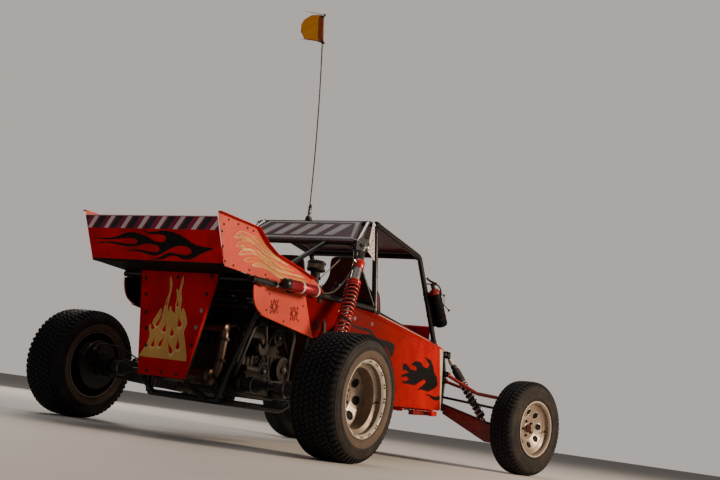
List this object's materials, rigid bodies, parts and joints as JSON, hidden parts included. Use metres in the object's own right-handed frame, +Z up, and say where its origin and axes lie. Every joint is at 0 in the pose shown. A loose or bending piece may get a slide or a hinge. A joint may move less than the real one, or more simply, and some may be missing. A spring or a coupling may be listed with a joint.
{
  "type": "dune buggy",
  "caption": "Two-seat dune buggy on a black tubular frame with red flame-painted panels, rear engine, box wing, long-travel coil-over suspension and a tall whip flag.",
  "frame": {"origin": "on the floor, at the middle of the overall box", "axes": "+X forward, +Y to the left, +Z up"},
  "size_m": [3.6513, 2.4762, 3.146],
  "materials": {
    "black_tube": "semi-gloss black paint on steel tube, dusty",
    "black_sheet": "satin black sheet",
    "red_sheet": "gloss red paint, dusty and scuffed",
    "maroon_sheet": "satin maroon with a light grey border",
    "seat_cloth": "dark red vinyl and cloth over foam",
    "wheel_grip": "black suede-like grip",
    "bare_steel": "bare machined steel",
    "engine_iron": "oily dark castings",
    "cast_alloy": "dull cast alloy",
    "hot_steel": "heat-browned steel pipe",
    "black_plastic": "matt black moulding",
    "shock_red": "red coil, silver body",
    "red_arm": "gloss red boxed arms",
    "shock_dark": "dark body with bright coils",
    "mast": "black fibreglass rod",
    "flag_cloth": "orange woven cloth",
    "bottle_black": "black bottle with a red shoulder",
    "tyre_rubber": "black rubber, dusty",
    "wheel_silver": "warm silver paint, dusty"
  },
  "bodies": {
    "chassis": {"lower_frame": "black_tube", "roll_cage": "black_tube", "rear_cage": "black_tube", "nose_frame": "black_tube", "floor_pan": "black_sheet", "side_steps": "red_sheet", "side_panel_right": "red_sheet", "side_panel_left": "red_sheet", "nose_panel": "red_sheet", "dash_panel": "maroon_sheet", "rear_roof_panel": "maroon_sheet", "front_roof_panel": "maroon_sheet", "wing_panel": "red_sheet", "wing_end_plates": "red_sheet", "engine_covers": "red_sheet", "rear_skirt_panel": "red_sheet", "seats": "seat_cloth", "steering_column": "black_tube", "pedals": "bare_steel", "engine_block": "engine_iron", "radiator": "black_sheet", "gearbox": "cast_alloy", "exhaust": "hot_steel", "air_cleaner": "black_plastic", "trailing_arms": "black_tube", "drive_shafts": "bare_steel", "rear_shocks": "shock_red", "shock_reservoirs": "shock_red", "front_upper_arms": "red_arm", "front_lower_arms": "red_arm", "front_shocks": "shock_dark", "steering_rack": "cast_alloy", "whip_mast": "mast", "flag": "flag_cloth", "fire_extinguisher": "bottle_black"},
    "left_knuckle": {"steering_knuckle_left": "black_tube"},
    "right_knuckle": {"steering_knuckle_right": "black_tube"},
    "rack_bar": {"tie_rods": "black_tube"},
    "hand_wheel": {"steering_wheel": "wheel_grip"},
    "rear_right_wheel": {"rear_right_rim": "wheel_silver", "rear_right_tyre": "tyre_rubber"},
    "rear_left_wheel": {"rear_left_rim": "wheel_silver", "rear_left_tyre": "tyre_rubber"},
    "front_right_wheel": {"front_right_rim": "wheel_silver", "front_right_tyre": "tyre_rubber"},
    "front_left_wheel": {"front_left_rim": "wheel_silver", "front_left_tyre": "tyre_rubber"}
  },
  "joints": [
    {"name": "rear_right_spin", "type": "hinge", "parent": "chassis", "child": "rear_right_wheel", "pos_m": [-1.16165, -1, 0.342], "axis": [0, 1, 0], "continuous": true},
    {"name": "rear_left_spin", "type": "hinge", "parent": "chassis", "child": "rear_left_wheel", "pos_m": [-1.16165, 1, 0.342], "axis": [0, 1, 0], "continuous": true},
    {"name": "left_steer", "type": "hinge", "parent": "chassis", "child": "left_knuckle", "pos_m": [1.43935, 0.942, 0.352], "axis": [0, 0, 1], "range_deg": [-18.6, 45.4]},
    {"name": "right_steer", "type": "hinge", "parent": "chassis", "child": "right_knuckle", "pos_m": [1.43935, -0.942, 0.352], "axis": [0, 0, 1], "range_deg": [-18.8, 45.6]},
    {"name": "rack_slide", "type": "slide", "parent": "chassis", "child": "rack_bar", "axis": [0, 1, 0], "range_m": [-0.0985, 0.0405]},
    {"name": "steering_wheel_turn", "type": "hinge", "parent": "chassis", "child": "hand_wheel", "pos_m": [0.52835, 0.262, 0.9], "axis": [-0.9135, 0, 0.4067], "range_deg": [-240, 590]},
    {"name": "front_right_spin", "type": "hinge", "parent": "right_knuckle", "child": "front_right_wheel", "pos_m": [1.40922, -1.06846, 0.352], "axis": [0.2317, 0.9728, 0], "continuous": true},
    {"name": "front_left_spin", "type": "hinge", "parent": "left_knuckle", "child": "front_left_wheel", "pos_m": [1.46948, 1.06846, 0.352], "axis": [0.2317, 0.9728, 0], "continuous": true}
  ],
  "couplings": [
    {"joint": "right_steer", "follows": "left_steer", "ratio": 1},
    {"joint": "rack_slide", "follows": "left_steer", "m_per_rad": -0.1234},
    {"joint": "steering_wheel_turn", "follows": "left_steer", "ratio": 12.8}
  ]
}
